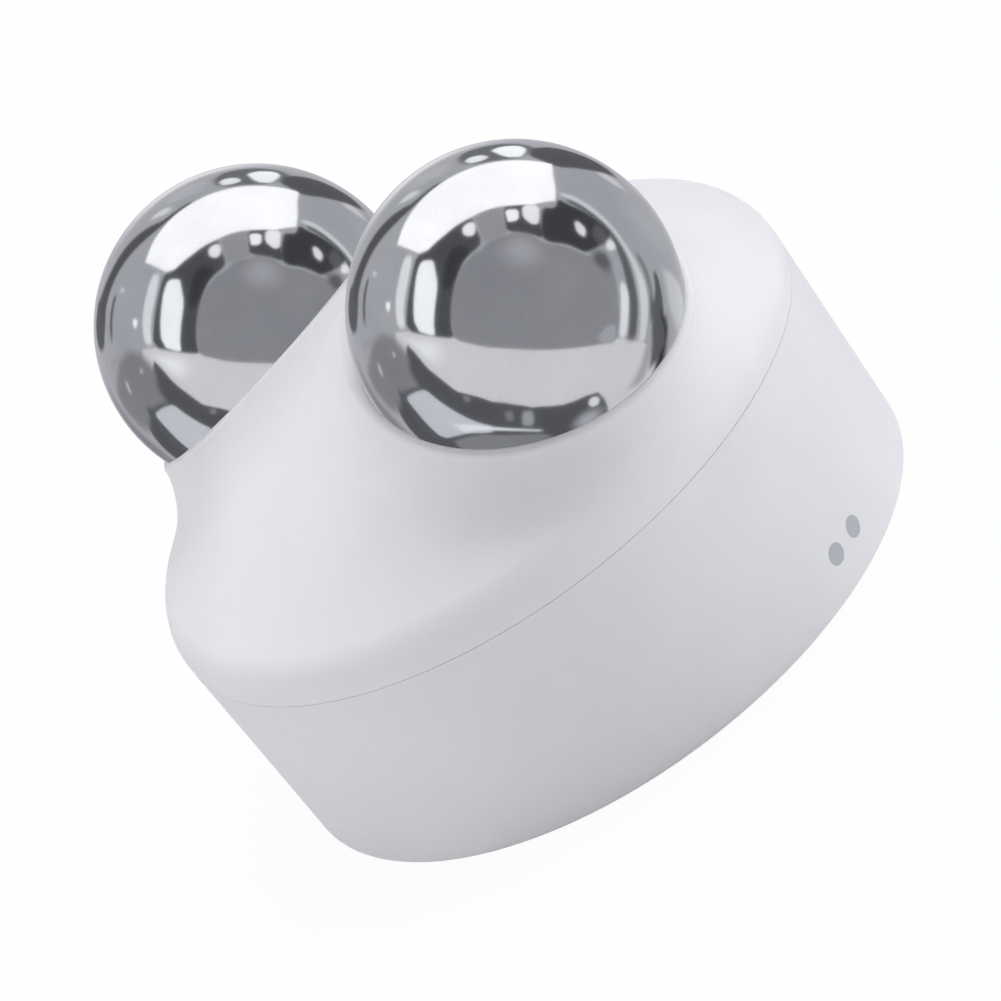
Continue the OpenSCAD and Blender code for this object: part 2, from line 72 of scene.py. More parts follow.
# ------------------------------------------------------------ directions and places on the right-hand side
LEAN = np.array([math.sin(COLLAR_TILT), 0, math.cos(COLLAR_TILT)])
ACROSS = np.array([math.cos(COLLAR_TILT), 0, -math.sin(COLLAR_TILT)])
SIDEWAYS = np.array([0.0, 1.0, 0.0])
BALL_CENTRE = np.array([BALL_X, 0, BALL_Z])
LIP_CENTRE = BALL_CENTRE - LIP_DROP * LEAN
BALL_CUT_R = math.sqrt(BALL_R ** 2 - LIP_DROP ** 2)     # the sphere's radius in the lip's plane
LIP_R = BALL_CUT_R + LIP_LAND
CUP_EDGE_R = BALL_CUT_R + LIP_GAP
SKIN_CENTRE = np.array([LIP_CENTRE[0] - 5.5, 0, SEAM_H])     # the skin's points are cast out from here
CORNER_TURN = 118       # degrees round the lip, where columns stop ending on the seam


# ------------------------------------------------------------ camera
# Where the photograph was taken from, as fitted to the object's outlines in it
CAMERA_TURN, CAMERA_RISE, CAMERA_ROLL = (math.radians(a) for a in (57.9141, 26.12146, -37.01247))
CAMERA_PLACE = Vector((395.693, -249.506, 242.090)) * MM
LENS_LENGTH, FILM_WIDTH = 246.11, 36        # mm
NEAREST, FURTHEST = 0.01, 20                # metres that the camera sees between


def add_camera():
    """Adds the camera, and returns the directions of its right, its up and its back."""
    reach = math.cos(CAMERA_RISE)
    back = Vector((math.sin(CAMERA_TURN) * reach, -math.cos(CAMERA_TURN) * reach, math.sin(CAMERA_RISE)))
    level = (-back).cross(Vector((0, 0, 1))).normalized()
    below = (-back).cross(level)
    right = math.cos(CAMERA_ROLL) * level - math.sin(CAMERA_ROLL) * below
    up = -(math.sin(CAMERA_ROLL) * level + math.cos(CAMERA_ROLL) * below)
    lens = bpy.data.cameras.new("camera")
    lens.lens, lens.sensor_width = LENS_LENGTH, FILM_WIDTH
    lens.clip_start, lens.clip_end = NEAREST, FURTHEST
    camera = bpy.data.objects.new("camera", lens)
    turned = Matrix((right, up, back)).transposed().to_4x4()
    camera.matrix_world = Matrix.Translation(CAMERA_PLACE) @ turned
    bpy.context.scene.collection.objects.link(camera)
    bpy.context.scene.camera = camera
    return right, up, back


PHOTO_RIGHT, PHOTO_UP, PHOTO_BACK = add_camera()


# ------------------------------------------------------------ meshes
WELD_GAP = 0.0008       # mm, points closer than this are made one
SHARP_TURN = 38         # degrees, an edge that turns by more stays sharp


def add_piece(name, points, faces):
    """A smooth shaded mesh object from points in mm."""
    mesh = bpy.data.meshes.new(name)
    mesh.from_pydata((np.asarray(points) * MM).tolist(), [], faces)
    mesh.update()
    mesh.polygons.foreach_set("use_smooth", [True] * len(mesh.polygons))
    piece = bpy.data.objects.new(name, mesh)
    bpy.context.scene.collection.objects.link(piece)
    return piece


def weld(piece):
    """Joins the points that fall together, and keeps only true edges sharp."""
    mesh = piece.data
    work = bmesh.new()
    work.from_mesh(mesh)
    bmesh.ops.remove_doubles(work, verts=work.verts, dist=WELD_GAP * MM)
    work.to_mesh(mesh)
    work.free()
    mesh.polygons.foreach_set("use_smooth", [True] * len(mesh.polygons))
    mesh.set_sharp_from_angle(angle=math.radians(SHARP_TURN))


def cad_faces(name):
    """Points in mm, triangles, and each triangle's corner points, of a CAD node."""
    mesh = frame["nodes"][name].data
    points = np.zeros(len(mesh.vertices) * 3)
    mesh.vertices.foreach_get("co", points)
    points = points.reshape(-1, 3) / MM
    triangles = np.array([tuple(p.vertices) for p in mesh.polygons])
    return points, triangles, points[triangles]


def moved_on(triangles, start):
    """Triangles for points that are listed from start on."""
    return [tuple(int(k) + start for k in t) for t in triangles]


def strip(rows, columns, first=0, closed=True):
    """Quads for points listed column by column, where columns run round and rows run out."""
    faces = []
    for i in range(columns if closed else columns - 1):
        here, there = first + i * rows, first + (i + 1) % columns * rows
        faces += [(here + j, here + j + 1, there + j + 1, there + j) for j in range(rows - 1)]
    return faces


# ------------------------------------------------------------ cap
OUTER_COLUMNS, INNER_COLUMNS, SKIN_ROWS = 220, 150, 84
SKIN_SPACING = 1.25                     # above 1, the skin's rows are closer together near the lip
LIP_BENDS = [90, 75, 60, 45, 30, 15]    # degrees round the lip's edge
SEAM_BENDS = [0, 30, 60, 90]            # degrees round the seam's edge
RAY_START, RAY_END, RAY_STEP = 2, 60, 0.5       # mm, where a ray is tried for the skin
HALVINGS = 26                           # times that a find is narrowed down
SKIN_NEAR = 0.04                        # mm, the CAD's flat facets lie this close to the true skin
PLANE_NEAR, SPIGOT_NEAR = 0.01, 0.05    # mm, how close a CAD face is to its plane or to the spigot


def round_union(a, b, k):
    """Two fields as one solid, with a fillet of radius k between them."""
    return np.maximum(k, np.minimum(a, b)) - np.hypot(np.maximum(k - a, 0), np.maximum(k - b, 0))


def round_common(a, b, k):
    """What two fields have in common, with a round of radius k on the edge."""
    return np.minimum(-k, np.maximum(a, b)) + np.hypot(np.maximum(k + a, 0), np.maximum(k + b, 0))


def from_lip(p):
    """Points as seen from the lip's centre on their own side. The cap's two sides are alike."""
    return np.stack([np.abs(p[..., 0]), p[..., 1], p[..., 2]], -1) - LIP_CENTRE


def open_field(p):
    """Zero on the skin and positive outside, in mm. The collars aren't cut off at their lips."""
    q = from_lip(p)
    r = np.hypot(p[..., 0], p[..., 1])
    rise = q @ LEAN
    out = np.hypot(q @ ACROSS, q[..., 1])
    h = np.hypot(DOME_SLOPE * r, CROWN_ROUND)
    dome = (p[..., 2] - CROWN_Z + h - CROWN_ROUND) / np.hypot(1, DOME_SLOPE ** 2 * r / h)
    dome = round_common(dome, r - BODY_R, SHOULDER_ROUND)
    collar = (out - LIP_R) * math.cos(COLLAR_FLARE) + rise * math.sin(COLLAR_FLARE)
    return round_union(dome, collar, COLLAR_FILLET)


def skin_field(p):
    """The open field, cut off flat at the lips."""
    return np.maximum(open_field(p), from_lip(p) @ LEAN)


def cast(origin, through):
    """Where rays from origin meet the skin."""
    along = through - origin
    along = along / np.linalg.norm(along, axis=-1, keepdims=True)
    low, high = np.zeros(along.shape[:-1]), np.full(along.shape[:-1], float(RAY_END))
    found = np.zeros(low.shape, bool)
    for reach in np.arange(RAY_START, RAY_END, RAY_STEP):
        outside = skin_field(origin + reach * along) > 0
        first = outside & ~found
        low, high = np.where(first, reach - RAY_STEP, low), np.where(first, reach, high)
        found |= outside
    for _ in range(HALVINGS):
        middle = (low + high) / 2
        outside = skin_field(origin + middle[..., None] * along) > 0
        low, high = np.where(outside, low, middle), np.where(outside, middle, high)
    return origin + ((low + high) / 2)[..., None] * along


def skin_half(outer_n, inner_n, rows):
    """Half of the skin, from the lip out: outer_n columns end on the seam and inner_n on the mid-plane."""
    i = np.arange(outer_n + inner_n)
    swing = np.cos(np.radians(180 * (i - outer_n) / inner_n))
    outer_turn = CORNER_TURN * (2 * i / outer_n - 1)
    inner_turn = 180 - (180 - CORNER_TURN) * swing
    turn = np.radians(np.where(i < outer_n, outer_turn, inner_turn))
    end = np.radians(np.where(i <= outer_n, 180 * i / outer_n - 90, 90 * swing))
    round_lip = np.cos(turn)[:, None] * ACROSS + np.sin(turn)[:, None] * SIDEWAYS

    def collar_r(level):
        """How far out from the collar's axis the skin is, at this level."""
        return np.linalg.norm(cast(level, level + round_lip) - level, axis=-1)

    # the lip's round runs down to the skin, and dies out where the collar runs into the ridge
    merged = np.clip((collar_r(LIP_CENTRE - LIP_FALL * LEAN) - LIP_R - MERGE_START) / MERGE_SPAN, 0, 1)
    fall = (LIP_FALL + (LIP_LEAST_FALL - LIP_FALL) * merged ** 2 * (3 - 2 * merged))[:, None]
    level = LIP_CENTRE - fall * LEAN
    lip_out = np.minimum(collar_r(level), LIP_R + LIP_SPREAD)[:, None]
    lip = level + lip_out * round_lip
    seam = np.full(len(i), SEAM_H + SEAM_EDGE)
    foot = np.stack([BODY_R * np.cos(end), BODY_R * np.sin(end), seam], -1)
    ridge = cast(np.array([0, 0, SEAM_H]), np.stack([0 * end, np.sin(end), SEAM_H + np.cos(end)], -1))
    foot = np.where((i > outer_n)[:, None], ridge, foot)
    share = (1 - np.arange(1, rows) / rows) ** SKIN_SPACING
    skin = cast(SKIN_CENTRE, foot[:, None] + (lip - foot)[:, None] * share[None, :, None])
    land_r = LIP_R - LIP_EDGE
    edge = [
        LIP_CENTRE + (math.sin(a) - 1) * fall * LEAN + (land_r + (lip_out - land_r) * math.cos(a)) * round_lip
        for a in np.radians(LIP_BENDS)
    ]
    land = [LIP_CENTRE + CUP_EDGE_R * round_lip]
    return np.stack(land + edge + [lip] + list(skin.transpose(1, 0, 2)) + [foot], 1)


def make_cap():
    """The CAD cap with its faceted skin, lips and seam face made again smooth."""
    columns = skin_half(OUTER_COLUMNS, INNER_COLUMNS, SKIN_ROWS)
    n, rows = columns.shape[:2]
    half = columns.reshape(-1, 3)
    faces = strip(rows, n)
    points = [half, half * [-1, 1, 1]]
    faces += [tuple(reversed([k + len(half) for k in f])) for f in faces]
    start = 2 * len(half)
    # the round under the seam's edge and the flat face behind it, on a full circle
    around = np.linspace(0, 2 * math.pi, 2 * OUTER_COLUMNS, endpoint=False)
    low = SEAM_H - SEAM_DROP
    rings = [(BODY_R, SEAM_H + SEAM_EDGE)]
    rings += [
        (BODY_R + SEAM_EDGE * (math.cos(a) - 1), low + SEAM_EDGE * (1 - math.sin(a)))
        for a in np.radians(SEAM_BENDS)
    ]
    rings += [(BODY_R - SEAM_LAND, low), (BODY_R - SEAM_LAND, SEAM_H), (SPIGOT_R, SEAM_H)]
    ring = np.array([[(r * math.cos(t), r * math.sin(t), z) for r, z in rings] for t in around])
    faces += strip(len(rings), len(around), start)
    points.append(ring.reshape(-1, 3))
    start += len(points[-1])
    # what the CAD cap has inside: its cups, bosses, spigot and inner wall
    cad, triangles, corners = cad_faces("cap_shell")
    on_skin = (np.abs(open_field(corners)) < SKIN_NEAR).all(1)
    on_lip = (np.abs(from_lip(corners) @ LEAN) < PLANE_NEAR).all(1)
    on_seam = (np.abs(corners[..., 2] - SEAM_H) < PLANE_NEAR).all(1)
    on_seam &= (np.hypot(corners[..., 0], corners[..., 1]) > SPIGOT_R - SPIGOT_NEAR).all(1)
    points.append(cad)
    faces += moved_on(triangles[~(on_skin | on_lip | on_seam)], start)
    cap = add_piece("cap_skin", np.concatenate(points), faces)
    weld(cap)
    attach(cap, "head")
    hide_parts("cap_shell")
    cap.visible_glossy = False
    return cap


# ------------------------------------------------------------ spheres
BALL_AROUND, BALL_DOWN = 288, 180
BALL_NEAR = 0.005       # mm, the CAD sphere's outer facets have their corners this close to it


def make_ball(node, side):
    """The CAD sphere with its outside made again as a fine grid, so that reflections run smooth."""
    lean, across, centre = LEAN * [side, 1, 1], ACROSS * [side, 1, 1], BALL_CENTRE * [side, 1, 1]
    lowest = math.pi - math.asin(STUD_HOLE_R / BALL_R)
    tilt = np.linspace(0, lowest, BALL_DOWN + 1)[1:]
    turn = np.linspace(0, 2 * math.pi, BALL_AROUND, endpoint=False)
    ring = np.cos(turn)[:, None] * across + side * np.sin(turn)[:, None] * SIDEWAYS
    grid = np.cos(tilt)[None, :, None] * lean + np.sin(tilt)[None, :, None] * ring[:, None]
    grid = centre + BALL_R * grid
    top = BALL_AROUND * BALL_DOWN
    faces = strip(BALL_DOWN, BALL_AROUND)
    faces += [(top, i * BALL_DOWN, (i + 1) % BALL_AROUND * BALL_DOWN) for i in range(BALL_AROUND)]
    cad, triangles, corners = cad_faces(node)
    outside = (np.linalg.norm(corners - centre, axis=-1) > BALL_R - BALL_NEAR).all(1)
    faces += moved_on(triangles[~outside], top + 1)
    points = [grid.reshape(-1, 3), (centre + BALL_R * lean)[None], cad]
    ball = add_piece(node.replace("sphere", "ball"), np.concatenate(points), faces)
    weld(ball)
    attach(ball, "head")
    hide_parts(node)
    ball.visible_glossy = False
    return ball


cap = make_cap()
ball_right = make_ball("sphere_right", 1)
ball_left = make_ball("sphere_left", -1)


# ------------------------------------------------------------ materials
# The sockets on which a Mix node takes two colours, and the one that gives their mix
MIX_FIRST, MIX_SECOND, MIX_RESULT = 6, 7, 2
CLOUD_MM = 9.0          # slow clouds of tint and gloss on a moulding
GLOSS_SPREAD = 0.05     # how much a moulding's roughness wanders
SPECK_SHARE = 1.7       # a moulding's specks are this much wider than its grain
METAL_SPECK_MM = 0.1    # fine unevenness of a worked metal's tint


def srgb(code):
    """A hex colour as Blender's linear one."""
    parts = [int(code[i : i + 2], 16) / 255 for i in (1, 3, 5)]
    return tuple(c / 12.92 if c <= 0.04045 else ((c + 0.055) / 1.055) ** 2.4 for c in parts) + (1.0,)


def add(tree, kind, sockets=None, **settings):
    """One shader node: settings are its own, and sockets gives inputs a value or what feeds them."""
    made = tree.nodes.new("ShaderNode" + kind)
    for name, value in settings.items():
        setattr(made, name, value)
    for name, value in (sockets or {}).items():
        if isinstance(value, bpy.types.NodeSocket):
            tree.links.new(value, made.inputs[name])
        else:
            made.inputs[name].default_value = value
    return made


def per_metre(mm):
    """Noise scale for features of this size."""
    return 1 / (mm * MM)


def new_material(name):
    """An empty node material, and its tree."""
    material = bpy.data.materials.new(name)
    material.use_nodes = True
    material.node_tree.nodes.clear()
    return material, material.node_tree


def moulded_plastic(name, colour, deep, rough, grain_mm, grain_depth_mm, ior=1.53):
    """Moulded plastic: two close tints in slow clouds, a fine grain, and gloss that wanders a little."""
    material, tree = new_material(name)
    place = add(tree, "TexCoord").outputs["Object"]
    cloud = add(tree, "TexNoise", {
        "Vector": place, "Scale": per_metre(CLOUD_MM), "Detail": 3.0, "Roughness": 0.5})
    speck = add(tree, "TexNoise", {
        "Vector": place, "Scale": per_metre(grain_mm * SPECK_SHARE), "Detail": 2.0, "Roughness": 0.6})
    tint = add(tree, "MapRange", {
        "Value": cloud.outputs["Fac"], "From Min": 0.3, "From Max": 0.7, "To Min": 0.0, "To Max": 0.75})
    mottle = add(tree, "MapRange", {
        "Value": speck.outputs["Fac"], "From Min": 0.35, "From Max": 0.7, "To Min": 0.0, "To Max": 0.25})
    share = add(tree, "Math", {0: tint.outputs["Result"], 1: mottle.outputs["Result"]}, operation="ADD")
    shade = add(tree, "Mix", {
        "Factor": share.outputs[0], MIX_FIRST: srgb(colour), MIX_SECOND: srgb(deep)}, data_type="RGBA")
    gloss = add(tree, "MapRange", {
        "Value": cloud.outputs["Fac"], "From Min": 0.3, "From Max": 0.7,
        "To Min": rough - GLOSS_SPREAD / 2, "To Max": rough + GLOSS_SPREAD / 2})
    grain = add(tree, "TexNoise", {
        "Vector": place, "Scale": per_metre(grain_mm), "Detail": 3.0, "Roughness": 0.55})
    bump = add(tree, "Bump", {
        "Height": grain.outputs["Fac"], "Strength": 1.0, "Distance": grain_depth_mm * MM})
    body = add(tree, "BsdfPrincipled", {
        "Base Color": shade.outputs[MIX_RESULT], "Roughness": gloss.outputs["Result"],
        "Normal": bump.outputs["Normal"], "IOR": ior})
    add(tree, "OutputMaterial", {"Surface": body.outputs[0]})
    return material


def worked_metal(name, colour, deep, rough, lines_mm, stretch, depth_mm, smudge=0.04, smudge_mm=4.0):
    """Metal with fine tool lines drawn out along one way, and a gloss that smudges unevenly."""
    material, tree = new_material(name)
    place = add(tree, "TexCoord").outputs["Object"]
    drawn = add(tree, "Mapping", {"Vector": place, "Scale": stretch})
    lines = add(tree, "TexNoise", {
        "Vector": drawn.outputs[0], "Scale": per_metre(lines_mm), "Detail": 2.0, "Roughness": 0.6})
    cloud = add(tree, "TexNoise", {
        "Vector": place, "Scale": per_metre(smudge_mm), "Detail": 4.0, "Roughness": 0.6})
    share = add(tree, "MapRange", {
        "Value": cloud.outputs["Fac"], "From Min": 0.35, "From Max": 0.7, "To Min": -0.3, "To Max": 0.3})
    speck = add(tree, "TexNoise", {
        "Vector": place, "Scale": per_metre(METAL_SPECK_MM), "Detail": 1.0, "Roughness": 0.5})
    share = add(tree, "Math", {0: share.outputs["Result"], 1: speck.outputs["Fac"]}, operation="ADD")
    shade = add(tree, "Mix", {
        "Factor": share.outputs[0], MIX_FIRST: srgb(colour), MIX_SECOND: srgb(deep)}, data_type="RGBA")
    gloss = add(tree, "MapRange", {
        "Value": cloud.outputs["Fac"], "From Min": 0.35, "From Max": 0.75,
        "To Min": rough, "To Max": rough + smudge})
    bump = add(tree, "Bump", {"Height": lines.outputs["Fac"], "Strength": 1.0, "Distance": depth_mm * MM})
    body = add(tree, "BsdfPrincipled", {
        "Base Color": shade.outputs[MIX_RESULT], "Metallic": 1.0,
        "Roughness": gloss.outputs["Result"], "Normal": bump.outputs["Normal"]})
    add(tree, "OutputMaterial", {"Surface": body.outputs[0]})
    return material


# Each finish stands under the record's slot, with what it gives the eye. A pixel of the picture is about
# 0.08 mm. The grain of a matt moulding and the lines of a worked metal are about that fine or finer, so
# they are drawn as coarse as they need to be to show.
FINISHES = {
    # ABS from a lightly spark-eroded mould: an even cool white that throws no clear reflection
    "base_white": moulded_plastic("abs_matt_base", "#e2e2e6", "#dcdde2", 0.48, 0.22, 0.0016),
    # the same ABS from a slightly smoother mould, with a soft sheen on the dome; its tint is painted light, a
    # shade lighter than the base's for the dome catching more light
    "cap_white": moulded_plastic("abs_matt_cap_painted_lighter", "#e4e4e8", "#dedfe4", 0.46, 0.22, 0.0016),
    # moulded silicone rubber: dark and dull
    "seal_rubber": moulded_plastic("silicone_seal", "#3a3b3f", "#33343a", 0.6, 0.3, 0.004, ior=1.41),
    # ABS from a coarser mould: a flat grey with a grain that the low light picks out
    "plate_grey": moulded_plastic("abs_base_plate", "#c9cad0", "#c0c1c8", 0.5, 0.35, 0.006),
    # ABS shot into the wall after it: a darker grey, a little glossier than the wall round it
    "dot_grey": moulded_plastic("two_shot_dots", "#b4b7bc", "#adb0b6", 0.42, 0.25, 0.0015),
    # moulded nylon: dark grey with a broken, waxy sheen
    "cup_grey": moulded_plastic("nylon_socket", "#4b4d52", "#434549", 0.45, 0.3, 0.005),
    # moulded acetal: near black, and the slickest of the plastics
    "latch_black": moulded_plastic("acetal_latch", "#2a2b30", "#222327", 0.34, 0.3, 0.002, ior=1.48),
    # stamped sheet steel: pale, with rolling streaks that pull highlights out sideways
    "cover_steel": worked_metal("stamped_steel_cover", "#b5b8bb", "#a6a9ad", 0.28, 0.12, (1, 8, 1), 0.003),
    # drawn steel wire: bright, with a thin highlight along each turn
    "spring_steel": worked_metal("drawn_spring_wire", "#bdc0c4", "#a9acb0", 0.22, 0.05, (1, 1, 4), 0.001),
    # moulded glass-filled nylon: black and dry, with a rougher grain
    "block_black": moulded_plastic("filled_nylon_block", "#1f2023", "#18191b", 0.5, 0.25, 0.004),
    # cured solder mask: deep green and wet-looking
    "board_green": moulded_plastic("solder_mask", "#1d5a3a", "#174c31", 0.3, 0.4, 0.003),
    # moulded epoxy: black, with a close dull grain
    "chip_black": moulded_plastic("epoxy_chip", "#26272a", "#1f2022", 0.55, 0.15, 0.004),
    # gold plate over turned brass: warm and bright, with faint turning lines
    "pin_gold": worked_metal("gold_plated_pins", "#e0bd66", "#d3ad55", 0.16, 0.06, (1, 1, 6), 0.0006),
    # polished chrome plate: a near mirror with no lines to see, and a gloss that smudges a little
    "sphere_chrome": worked_metal(
        "polished_chrome", "#cbccce", "#bebfc3", 0.08, 0.35, (1, 1, 1), 0.00001, smudge=0.02, smudge_mm=7.0),
    # turned steel: grey, with rings that soften what it reflects
    "stud_steel": worked_metal("turned_steel", "#b6b9bd", "#a8abaf", 0.25, 0.1, (1, 1, 6), 0.002),
    # rolled bronze strip: brown-gold, with streaks along it
    "strap_bronze": worked_metal("bronze_strip", "#c79a5b", "#b98b4d", 0.28, 0.1, (6, 1, 1), 0.002),
    # zinc plated steel: a duller grey than bare steel, slightly clouded
    "screw_steel": worked_metal("zinc_plated_screws", "#a3a6aa", "#95989c", 0.3, 0.15, (1, 1, 4), 0.003),
}


def give_finish(piece, slot):
    """Gives a new piece the finish of a slot."""
    piece.data.materials.clear()
    piece.data.materials.append(FINISHES[slot])


give_finish(cap, "cap_white")
give_finish(ball_right, "sphere_chrome")
give_finish(ball_left, "sphere_chrome")
for entry in frame["record"]["subparts"]:
    node = frame["nodes"][entry["node"]]
    node.visible_glossy = False
    for k in range(len(node.data.materials)):
        node.data.materials[k] = FINISHES[entry["material_slot"]]


# ------------------------------------------------------------ studio
# No piece and no floor shows in the spheres, because the spheres in the photograph show neither.
FLOOR_HALF, FLOOR_DROP = 3000, 0.05     # mm, half the floor's side, and how far it lies under the base
FLOOR_GLOW = 0.94                       # share of plain white in what the floor shows; the rest is shadow
FILL_STRENGTH = 0.02                    # light from all round


def seen_directly(tree):
    """1 for a ray from the camera, off a mirror or through glass, which sees the white background."""
    path = add(tree, "LightPath")
    rays = [path.outputs[f"Is {kind} Ray"] for kind in ("Camera", "Glossy", "Transmission")]
    seen = add(tree, "Math", {0: rays[0], 1: rays[1]}, operation="MAXIMUM")
    return add(tree, "Math", {0: seen.outputs[0], 1: rays[2]}, operation="MAXIMUM").outputs[0]


def add_floor():
    """A plain pale floor."""
    material, tree = new_material("studio_floor")
    share = add(tree, "Math", {0: seen_directly(tree), 1: FLOOR_GLOW}, operation="MULTIPLY")
    paper = add(tree, "BsdfDiffuse", {"Color": srgb("#f2f2f3")})
    glow = add(tree, "Emission", {"Color": (1, 1, 1, 1), "Strength": 1.0})
    both = add(tree, "MixShader", {0: share.outputs[0], 1: paper.outputs[0], 2: glow.outputs[0]})
    add(tree, "OutputMaterial", {"Surface": both.outputs[0]})
    corners = [(-1, -1), (1, -1), (1, 1), (-1, 1)]
    points = [(x * FLOOR_HALF, y * FLOOR_HALF, -FLOOR_DROP) for x, y in corners]
    floor = add_piece("floor", points, [(0, 1, 2, 3)])
    floor.data.materials.append(material)
    floor.visible_glossy = False


def add_world():
    """White where it is looked at, and almost no light from it."""
    world = bpy.data.worlds.new("studio")
    bpy.context.scene.world = world
    world.use_nodes = True
    tree = world.node_tree
    tree.nodes.clear()
    seen = seen_directly(tree)
    fill = add(tree, "Background", {"Color": srgb("#e6e9f2"), "Strength": FILL_STRENGTH})
    white = add(tree, "Background", {"Color": (1, 1, 1, 1), "Strength": 1.0})
    both = add(tree, "MixShader", {0: seen, 1: fill.outputs[0], 2: white.outputs[0]})
    add(tree, "OutputWorld", {"Surface": both.outputs[0]})


def direction(lon, lat):
    """Unit vector lon degrees right of and lat degrees above the way from the object to the camera."""
    lon, lat = math.radians(lon), math.radians(lat)
    level = math.cos(lat)
    sideways = (level * math.sin(lon)) * PHOTO_RIGHT
    return sideways + math.sin(lat) * PHOTO_UP + (level * math.cos(lon)) * PHOTO_BACK


# ------------------------------------------------------------ lamps
# Directions in degrees, as direction() takes them, and strength. The ten rows come from a least-squares
# fit to the photograph's shading on the plastic, so they are one way of lighting it and not a real studio.
LAMP_SPREAD = 34        # degrees across
LAMPS = [
    (-91, -7, 1.27),
    (82, 42, 1.20),
    (-15, 64, 0.97),
    (-48, 78, 0.66),
    (14, -1, 0.55),
    (-115, 17, 0.58),
    (115, 36, 0.48),
    (-68, 59, 0.46),
    (-78, -18, 0.22),
    (2, 10, 0.23),
]


def add_lamp(name, lon, lat, strength):
    """A soft distant lamp. The spheres show the cards instead of it."""
    lamp = bpy.data.lights.new(name, "SUN")
    lamp.angle, lamp.energy = math.radians(LAMP_SPREAD), strength
    stand = bpy.data.objects.new(name, lamp)
    stand.rotation_euler = direction(lon, lat).to_track_quat("Z", "Y").to_euler()
    stand.visible_glossy = False
    bpy.context.scene.collection.objects.link(stand)


# ------------------------------------------------------------ tent of cards
# The spheres stand in a tent of grey and white cards that only they and the plastic's gloss see. Where the
# tent is open they show the white background. The cards' outlines were traced on the near sphere in the
# photograph and turned into directions, and many were then moved.
TENT_CENTRE, TENT_R = Vector((BALL_X, 0, BALL_Z)), 600      # mm
METAL_SHARE = 0.56      # a card is brighter than the sphere shows it by one over this
CARD_CLOUD_MM = 260.0   # slow unevenness of a card's brightness
CUT_SHARE = 0.2         # a round takes this much off each end of a card's sides
SIDE_STEPS = 6          # points along each side of a card's outline
BAND_ROUNDS = 3         # times that a band's course is cut to a curve
CENTRE_FADE = 0.05      # a card's fade stays this share clear of its middle
TENT_COLUMNS, TENT_ROWS = 181, 25
card_reach = count(TENT_R - 1, -1)      # mm, each card hangs in front of those before it


def card_material(name, shade):
    """A glowing card, clear where its cover is 0."""
    material, tree = new_material(name)
    cover = add(tree, "Attribute", attribute_name="cover")
    place = add(tree, "TexCoord").outputs["Object"]
    cloud = add(tree, "TexNoise", {
        "Vector": place, "Scale": per_metre(CARD_CLOUD_MM), "Detail": 2.0, "Roughness": 0.5})
    falloff = add(tree, "MapRange", {
        "Value": cloud.outputs["Fac"], "From Min": 0.3, "From Max": 0.7, "To Min": 0.97, "To Max": 1.03})
    colour = tuple(c / METAL_SHARE for c in srgb(shade)[:3]) + (1,)
    glow = add(tree, "Emission", {"Color": colour, "Strength": falloff.outputs["Result"]})
    clear = add(tree, "BsdfTransparent")
    soft = add(tree, "MapRange", {"Value": cover.outputs["Fac"]}, interpolation_type="SMOOTHSTEP")
    both = add(tree, "MixShader", {0: soft.outputs["Result"], 1: clear.outputs[0], 2: glow.outputs[0]})
    add(tree, "OutputMaterial", {"Surface": both.outputs[0]})
    material.cycles.emission_sampling = "NONE"
    return material


def only_reflected(piece):
    """Keeps a piece of the studio from everything but reflections."""
    piece.visible_camera = piece.visible_diffuse = False
    piece.visible_shadow = piece.visible_volume_scatter = False


def hang(name, shade, points, faces, cover):
    """Hangs a card in the tent, in front of those before it."""
    reach = next(card_reach)
    piece = add_piece(name, [v * reach + TENT_CENTRE for v in points], faces)
    piece.data.attributes.new("cover", "FLOAT", "POINT").data.foreach_set("value", cover)
    piece.data.materials.append(card_material(name, shade))
    only_reflected(piece)


def add_card(name, shade, corners, soft=0.08, rounds=1):
    """A card with these corners. soft is the share of it, from its edge in, over which it fades."""
    outline = [direction(*c) for c in corners]
    middle = sum(outline, Vector()).normalized()
    for _ in range(rounds):
        sides = list(zip(outline, outline[1:] + outline[:1]))
        outline = [v for a, b in sides for v in (a.lerp(b, CUT_SHARE), a.lerp(b, 1 - CUT_SHARE))]
    sides = list(zip(outline, outline[1:] + outline[:1]))
    outline = [a.lerp(b, t / SIDE_STEPS) for a, b in sides for t in range(SIDE_STEPS)]
    shares = sorted({t / 10 for t in range(1, 10)} | {max(CENTRE_FADE, 1 - soft), 1 - soft / 2, 1.0})
    rings = [[middle.lerp(v, share).normalized() for v in outline] for share in shares]
    cover = [1.0] + [min(1.0, (1 - share) / soft) for share in shares for _ in outline]
    n = len(outline)
    faces = [(0, 1 + i, 1 + (i + 1) % n) for i in range(n)]
    for k in range(len(rings) - 1):
        near, far = 1 + k * n, 1 + (k + 1) * n
        faces += [(near + i, far + i, far + (i + 1) % n, near + (i + 1) % n) for i in range(n)]
    hang(name, shade, [middle] + [v for ring in rings for v in ring], faces, cover)


def add_band(name, shade, course, soft=0.4):
    """A long card along course, a list of (lon, lat, width in degrees).

    Its sides fade over soft of its half width."""
    line = [
        np.array([*direction(lon, lat), math.tan(math.radians(width / 2))]) for lon, lat, width in course]
    for _ in range(BAND_ROUNDS):
        cut = [v for a, b in zip(line, line[1:]) for v in (0.75 * a + 0.25 * b, 0.25 * a + 0.75 * b)]
        line = [line[0]] + cut[1:-1] + [line[-1]]
    last = len(line) - 1
    points, cover = [], []
    for k, point in enumerate(line):
        middle = Vector(point[:3]).normalized()
        along = Vector(line[min(k + 1, last)][:3] - line[max(k - 1, 0)][:3])
        side = along.cross(middle).normalized() * point[3]
        points += [(middle + side * t).normalized() for t in (-1, soft - 1, 1 - soft, 1)]
        cover += [0.0, 0.0, 0.0, 0.0] if k in (0, last) else [0.0, 1.0, 1.0, 0.0]
    hang(name, shade, points, strip(4, len(line), closed=False), cover)


